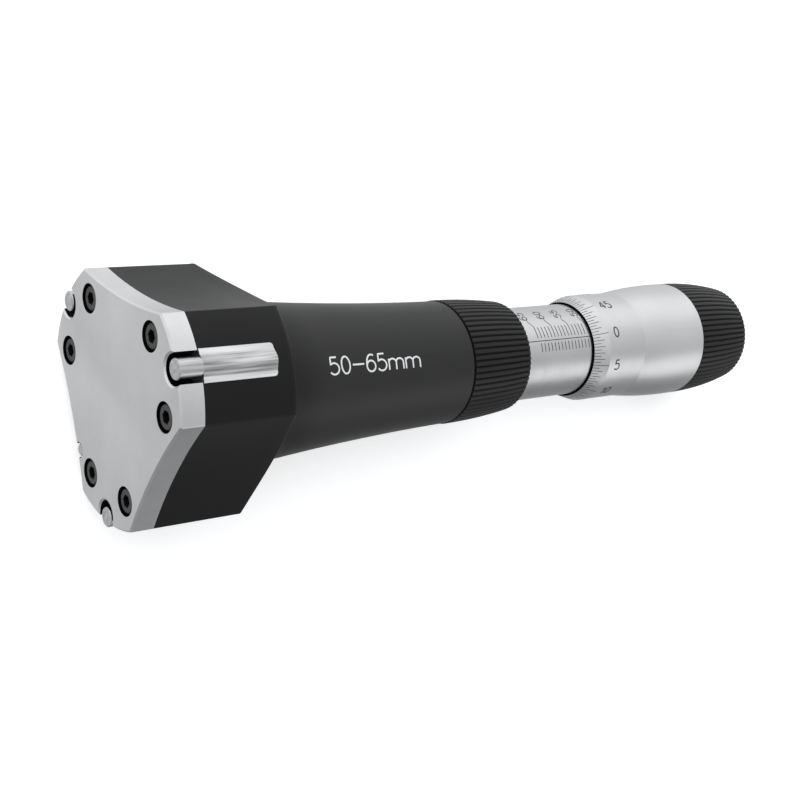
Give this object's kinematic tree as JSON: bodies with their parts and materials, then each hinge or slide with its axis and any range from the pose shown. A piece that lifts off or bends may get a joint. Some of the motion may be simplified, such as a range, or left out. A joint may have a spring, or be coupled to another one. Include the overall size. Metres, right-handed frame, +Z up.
{
  "type": "three-point bore micrometer",
  "caption": "Hand-held internal micrometer: a lobed head with three anvils spread by a cone, a graduated sleeve and thimble, and fluted grips.",
  "frame": {"origin": "centre of the head's front face, on the tool's axis", "axes": "+X along the tool from the front face to the tail, +Z up through the top anvil"},
  "size_m": [0.1614, 0.0476, 0.0443],
  "materials": {
    "black_alloy": "matt black anodised",
    "ground_steel": "ground",
    "black_steel": "black oxide",
    "satin_chrome": "satin",
    "tool_steel": "ground, along the anvil",
    "carbide": "lapped",
    "spring_steel": "drawn wire",
    "bronze": "turned"
  },
  "bodies": {
    "housing": {"head_body": "black_alloy", "front_plate": "ground_steel", "cover_screws": "black_steel", "plate_dowel": "tool_steel", "rod_bush": "bronze", "guide_key": "tool_steel", "cone_spring": "spring_steel", "collar": "black_alloy", "sleeve": "satin_chrome", "spindle_nut": "bronze", "nut_adjuster": "tool_steel", "anvil_spring_1": "spring_steel", "anvil_spring_2": "spring_steel", "anvil_spring_3": "spring_steel", "spring_post_1": "tool_steel", "spring_post_2": "tool_steel", "spring_post_3": "tool_steel"},
    "cone_carriage": {"drive_cone": "tool_steel", "drive_rod": "tool_steel", "thrust_ball": "tool_steel"},
    "thimble_assembly": {"spindle": "tool_steel", "thimble": "satin_chrome", "thimble_lock_nut": "tool_steel", "ratchet_wheel": "tool_steel", "cap_screw": "black_steel"},
    "ratchet": {"ratchet_cap": "black_alloy", "plunger_spring": "spring_steel"},
    "plunger": {"ratchet_plunger": "tool_steel"},
    "anvil_1": {"anvil_block_1": "tool_steel", "anvil_pin_1": "carbide"},
    "anvil_2": {"anvil_block_2": "tool_steel", "anvil_pin_2": "carbide"},
    "anvil_3": {"anvil_block_3": "tool_steel", "anvil_pin_3": "carbide"}
  },
  "joints": [
    {"name": "cone_slide", "type": "slide", "parent": "housing", "child": "cone_carriage", "axis": [-1, 0, 0], "range_m": [0, 0.015], "deforming": ["cone_spring"]},
    {"name": "thimble_turn", "type": "hinge", "parent": "cone_carriage", "child": "thimble_assembly", "pos_m": [0.12, 0, 0], "axis": [-1, 0, 0], "range_deg": [0, 10800]},
    {"name": "ratchet_turn", "type": "hinge", "parent": "thimble_assembly", "child": "ratchet", "pos_m": [0.15, 0, 0], "axis": [-1, 0, 0], "continuous": true},
    {"name": "plunger_slide", "type": "slide", "parent": "ratchet", "child": "plunger", "axis": [1, 0, 0], "range_m": [0, 0.0006], "stiffness_N_per_m": 200, "deforming": ["plunger_spring"]},
    {"name": "anvil_1_slide", "type": "slide", "parent": "housing", "child": "anvil_1", "axis": [0, 0, 1], "range_m": [0, 0.0075], "deforming": ["anvil_spring_1"]},
    {"name": "anvil_2_slide", "type": "slide", "parent": "housing", "child": "anvil_2", "axis": [0, -0.866, -0.5], "range_m": [0, 0.0075], "deforming": ["anvil_spring_2"]},
    {"name": "anvil_3_slide", "type": "slide", "parent": "housing", "child": "anvil_3", "axis": [0, 0.866, -0.5], "range_m": [0, 0.0075], "deforming": ["anvil_spring_3"]}
  ],
  "couplings": [
    {"joint": "thimble_turn", "follows": "cone_slide", "rad_per_m": 12566},
    {"joint": "anvil_1_slide", "follows": "cone_slide", "ratio": 0.5},
    {"joint": "anvil_2_slide", "follows": "cone_slide", "ratio": 0.5},
    {"joint": "anvil_3_slide", "follows": "cone_slide", "ratio": 0.5}
  ]
}
